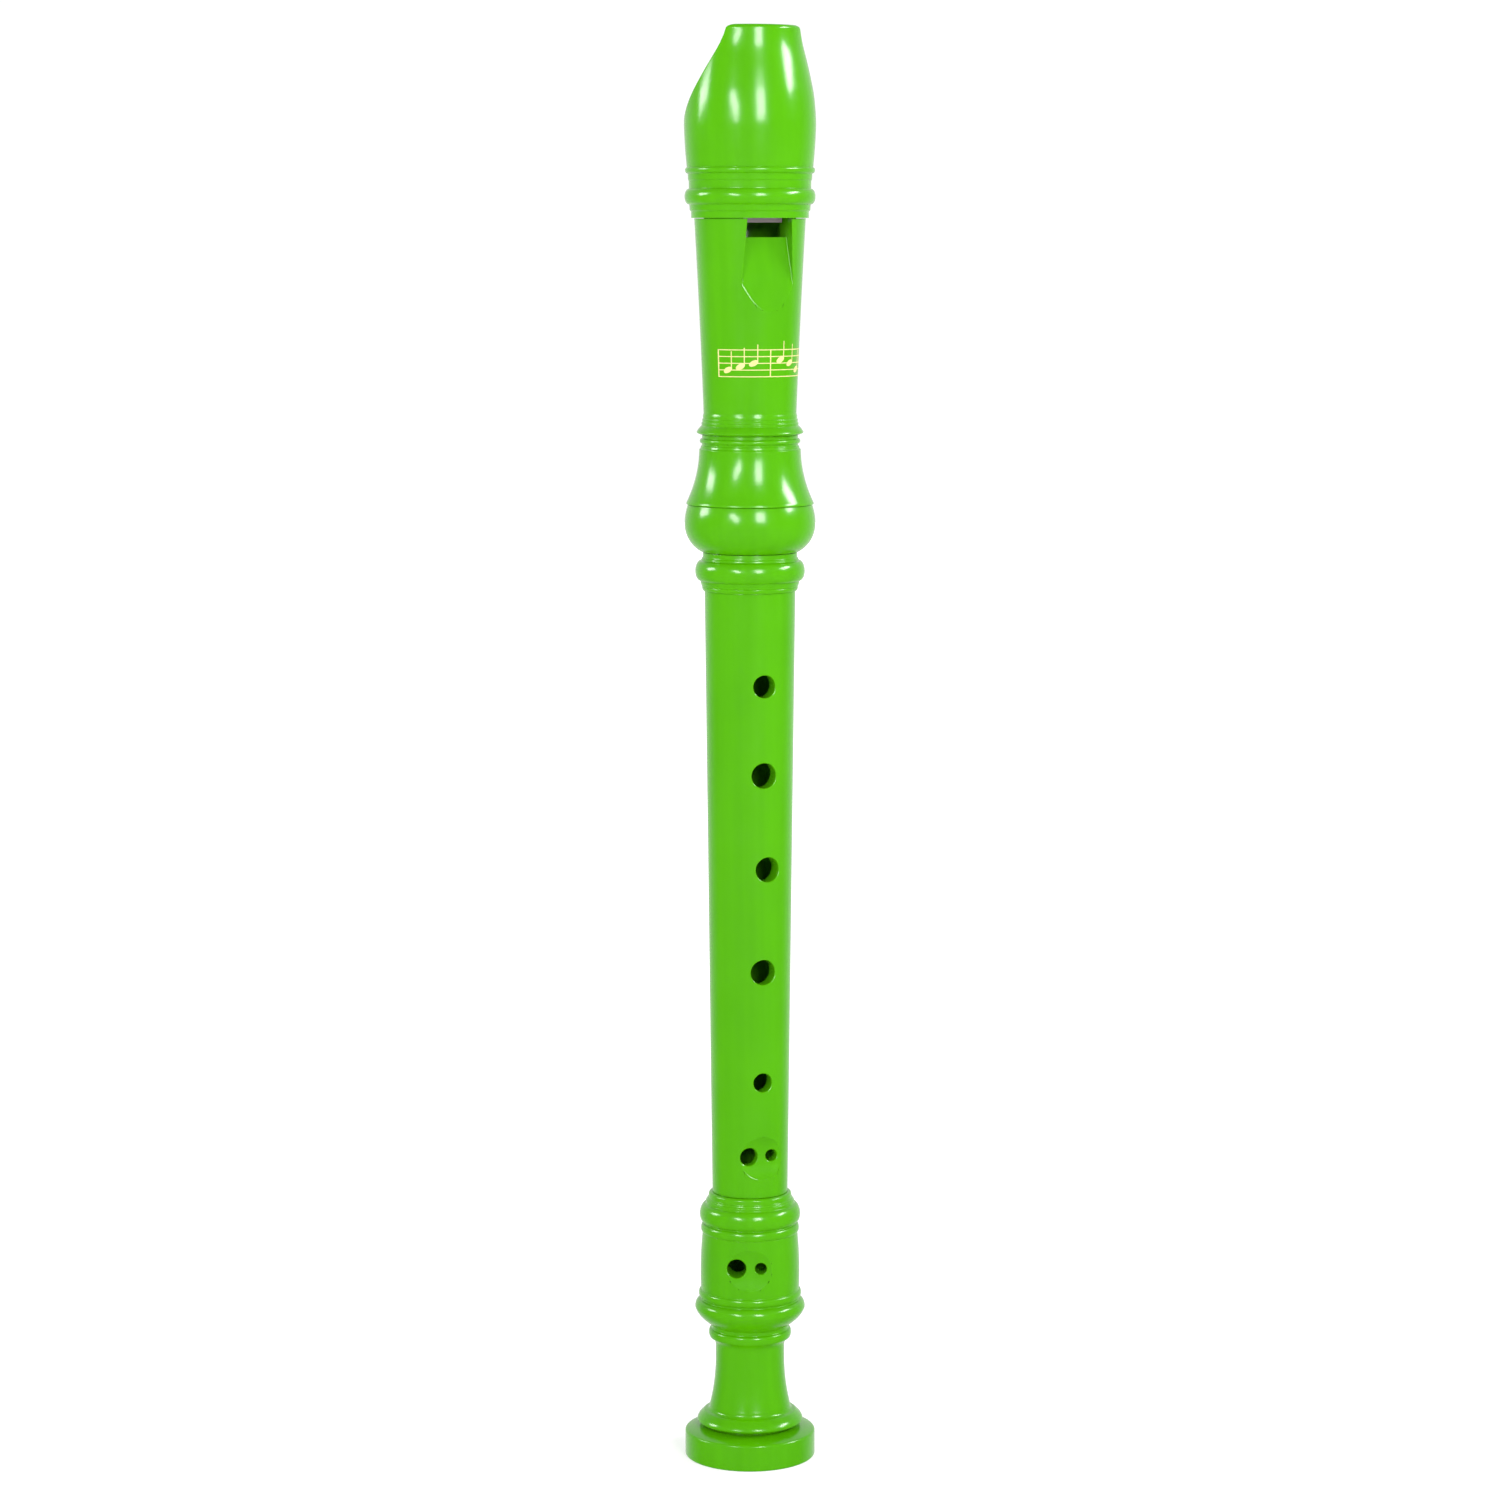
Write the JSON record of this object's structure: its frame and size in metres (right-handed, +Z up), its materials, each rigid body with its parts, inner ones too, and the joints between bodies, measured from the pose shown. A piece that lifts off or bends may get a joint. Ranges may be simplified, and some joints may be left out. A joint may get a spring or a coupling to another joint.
{
  "type": "soprano recorder",
  "caption": "Three-joint moulded plastic soprano recorder with beak, windway block, window, finger holes, thumb hole and a foot joint that turns.",
  "frame": {"origin": "on the bore axis at the foot's rim, the face the recorder stands on", "axes": "+Z up the bore axis towards the beak, -Y the side of the window and finger holes, +Y the thumb's side"},
  "size_m": [0.0302, 0.0302, 0.33],
  "materials": {
    "body_plastic": "semi-gloss lime green ABS",
    "block_plastic": "satin pale mauve-grey ABS"
  },
  "bodies": {
    "foot": {"foot_tube": "body_plastic", "foot_base_ring": "body_plastic"},
    "foot_ring": {"foot_socket_ring": "body_plastic"},
    "middle": {"middle_tube": "body_plastic", "middle_collar": "body_plastic"},
    "head_ring": {"head_socket_ring": "body_plastic"},
    "head": {"beak_cap": "body_plastic", "windway_block": "block_plastic", "head_barrel": "body_plastic", "head_ferrule": "body_plastic"}
  },
  "joints": [
    {"name": "foot_turn", "type": "hinge", "parent": "foot", "child": "foot_ring", "pos_m": [0, 0, 0.0535], "axis": [0, 0, 1], "continuous": true},
    {"name": "foot_pull", "type": "slide", "parent": "foot_ring", "child": "middle", "axis": [0, 0, 1], "range_m": [0, 0.0125]},
    {"name": "head_pull", "type": "slide", "parent": "middle", "child": "head_ring", "axis": [0, 0, 1], "range_m": [0, 0.02]},
    {"name": "head_turn", "type": "hinge", "parent": "head_ring", "child": "head", "pos_m": [0, 0, 0.2225], "axis": [0, 0, 1], "continuous": true}
  ]
}
